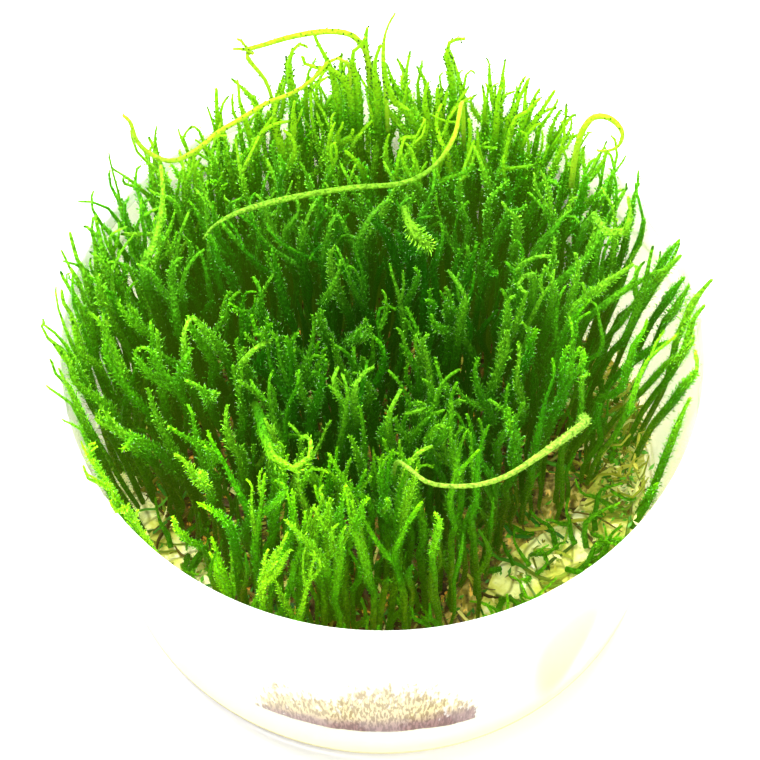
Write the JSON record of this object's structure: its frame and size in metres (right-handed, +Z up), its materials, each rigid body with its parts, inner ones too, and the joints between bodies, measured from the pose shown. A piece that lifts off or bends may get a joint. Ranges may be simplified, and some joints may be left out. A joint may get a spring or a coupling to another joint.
{
  "type": "moss clump",
  "caption": "Dense clump of upright green moss shoots on a brown thatch and straw-coloured gel, with a few long stray stems, in a low round clear cup with a printed white paper sleeve.",
  "frame": {"origin": "on the surface that the cup stands on, under the middle of its foot", "axes": "+Z up; -Y is the front, the side that the picture was taken from; +X is to its right"},
  "size_m": [0.0992, 0.0992, 0.0768],
  "materials": {
    "clear_plastic": "clear, glossy",
    "white_paper": "satin coated white paper with a pale print",
    "straw_gel": "wet, see-through straw gel",
    "old_stems": "matte brown, fibrous",
    "moss_green": "damp, finely leafed green",
    "stray_green": "fresh yellow-green, close-leafed stem"
  },
  "bodies": {
    "root": {"culture_cup": "clear_plastic", "paper_sleeve": "white_paper", "agar_gel": "straw_gel", "brown_thatch": "old_stems", "green_shoots": "moss_green", "long_stray_stem": "stray_green", "front_stray_stem": "stray_green", "bridging_stray_stem": "stray_green", "hooked_stray_stem": "stray_green", "tangled_stray_stem": "stray_green", "back_stray_stem": "stray_green"}
  },
  "joints": []
}
